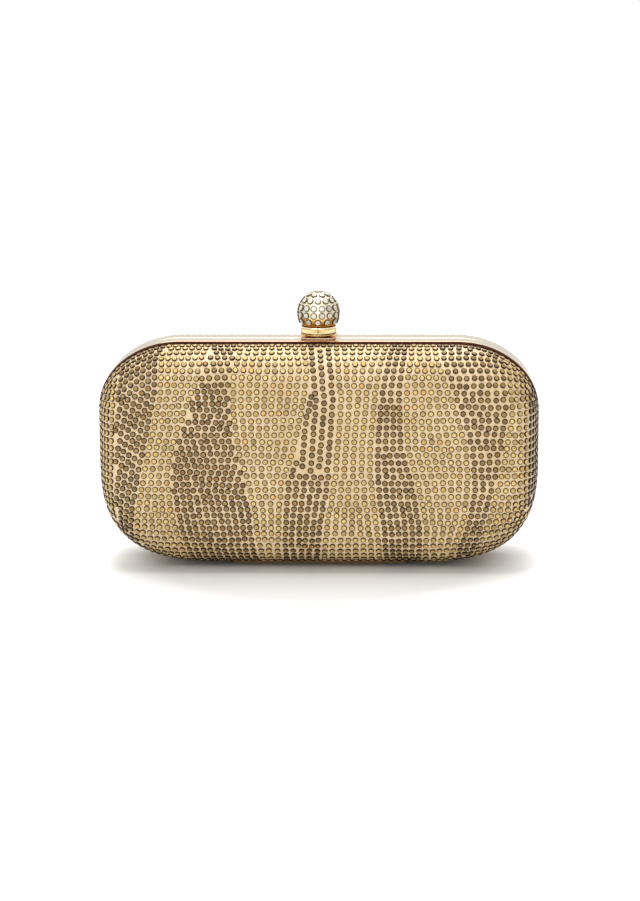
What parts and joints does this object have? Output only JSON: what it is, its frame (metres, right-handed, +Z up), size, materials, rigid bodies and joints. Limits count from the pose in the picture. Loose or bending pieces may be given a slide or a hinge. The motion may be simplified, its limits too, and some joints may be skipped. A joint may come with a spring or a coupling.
{
  "type": "hard case clutch bag",
  "caption": "Rounded hard-shell evening clutch: two crystal-covered shells in a hinged gold frame, closed by a crystal ball clasp.",
  "frame": {"origin": "on the surface that the clutch stands on, under the middle of the bottom hinge", "axes": "+X to the right of someone facing the front, +Y from the front half to the rear half, +Z up towards the ball clasp"},
  "size_m": [0.1756, 0.052, 0.1095],
  "materials": {
    "frame_metal": "polished light champagne gold plate",
    "cover_satin": "champagne satin set all over with gold and bronze flat-back crystals",
    "shell_board": "moulded board, unseen",
    "lining_cloth": "plain satin lining glued to the shell",
    "hinge_brass": "satin",
    "clasp_metal": "polished warm gold plate",
    "spring_steel": "bright drawn wire"
  },
  "bodies": {
    "rear_half": {"rear_frame": "frame_metal", "rear_shell": "shell_board", "rear_cover": "cover_satin", "rear_lining": "lining_cloth", "rear_hinge_leaf": "hinge_brass", "hinge_pin": "hinge_brass", "clasp_lug_left": "clasp_metal", "clasp_lug_right": "clasp_metal", "clasp_pin": "spring_steel"},
    "front_half": {"front_frame": "frame_metal", "front_shell": "shell_board", "front_cover": "cover_satin", "front_lining": "lining_cloth", "front_hinge_leaf": "hinge_brass", "catch_plate": "frame_metal"},
    "clasp": {"clasp_lever": "clasp_metal", "clasp_spring": "spring_steel", "clasp_cup": "clasp_metal", "clasp_collar": "clasp_metal", "clasp_ball": "clasp_metal", "clasp_screw": "spring_steel"}
  },
  "joints": [
    {"name": "shell_hinge", "type": "hinge", "parent": "rear_half", "child": "front_half", "pos_m": [0, 0, 0.0012], "axis": [1, 0, 0], "range_deg": [0, 75]},
    {"name": "clasp_tilt", "type": "hinge", "parent": "rear_half", "child": "clasp", "pos_m": [0, 0.0078, 0.09215], "axis": [-1, 0, 0], "range_deg": [0, 25], "stiffness_Nm_per_rad": 0.02, "springref_deg": -20.05}
  ]
}
